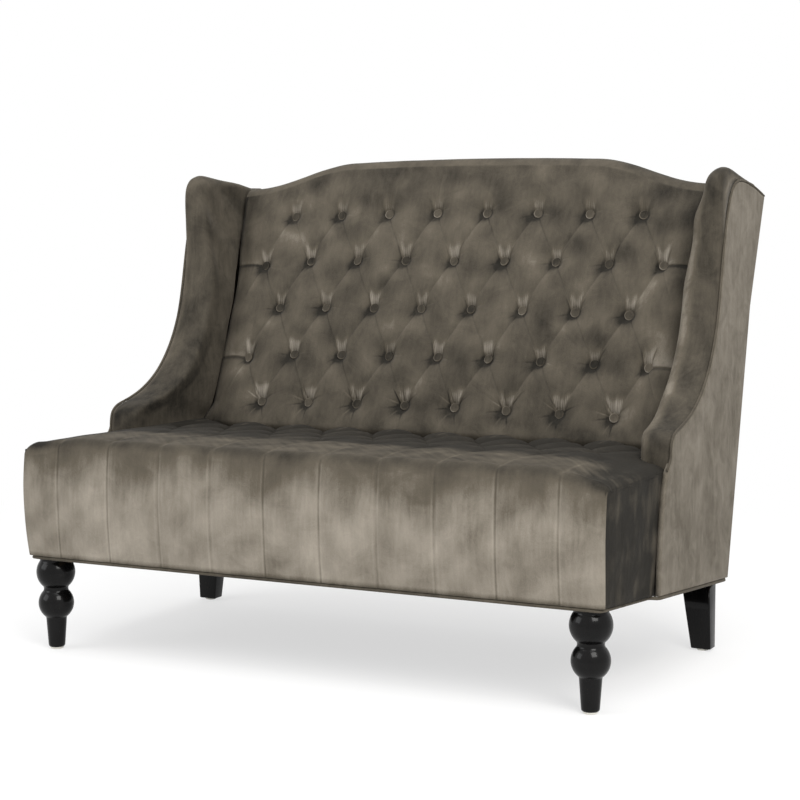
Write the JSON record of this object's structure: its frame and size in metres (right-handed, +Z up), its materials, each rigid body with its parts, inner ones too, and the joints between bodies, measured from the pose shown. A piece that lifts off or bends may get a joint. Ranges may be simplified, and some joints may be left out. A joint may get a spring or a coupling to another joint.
{
  "type": "high back settee",
  "caption": "Two-seat settee with a high diamond-tufted raked back, swept side wings, a deep pleated seat, turned front legs and tapered rear legs.",
  "frame": {"origin": "on the floor, under the middle of the whole object's box", "axes": "+X to the sitter's left along the seat's width, seen from the front to the right; +Y towards the back; +Z up"},
  "size_m": [1.3, 0.9146, 1.0238],
  "materials": {
    "velvet": "short warm grey-brown velvet pile",
    "velvet_back": "the same velvet with its pile brushed the darker way",
    "black_satin_wood": "black satin lacquer",
    "timber": "planed beech",
    "plywood": "raw birch plywood",
    "steel": "zinc plated",
    "foam": "open cell upholstery foam",
    "inner_cloth": "woven hessian and webbing",
    "dust_cloth": "thin black cambric",
    "nylon": "moulded nylon"
  },
  "bodies": {
    "root": {"front_left_leg": "black_satin_wood", "front_right_leg": "black_satin_wood", "rear_left_leg": "black_satin_wood", "rear_right_leg": "black_satin_wood", "foot_glides": "nylon", "leg_bolts": "steel", "corner_blocks": "timber", "front_rail": "plywood", "back_rail": "plywood", "left_side_rail": "plywood", "right_side_rail": "plywood", "centre_stretcher": "timber", "left_back_post": "plywood", "right_back_post": "plywood", "left_wing_board": "plywood", "right_wing_board": "plywood", "top_rail": "timber", "tack_rail": "timber", "back_stiles": "timber", "frame_screws": "steel", "seat_springs": "steel", "spring_clips": "steel", "deck_cloth": "inner_cloth", "seat_foam": "foam", "seat_cover": "velvet", "back_webbing": "inner_cloth", "back_foam": "foam", "back_cover": "velvet_back", "back_buttons": "velvet", "outside_back": "velvet_back", "left_wing_pad": "velvet", "right_wing_pad": "velvet", "left_outside_panel": "velvet", "right_outside_panel": "velvet", "left_wing_welt": "velvet", "right_wing_welt": "velvet", "base_welt": "velvet_back", "dust_cover": "dust_cloth"}
  },
  "joints": []
}
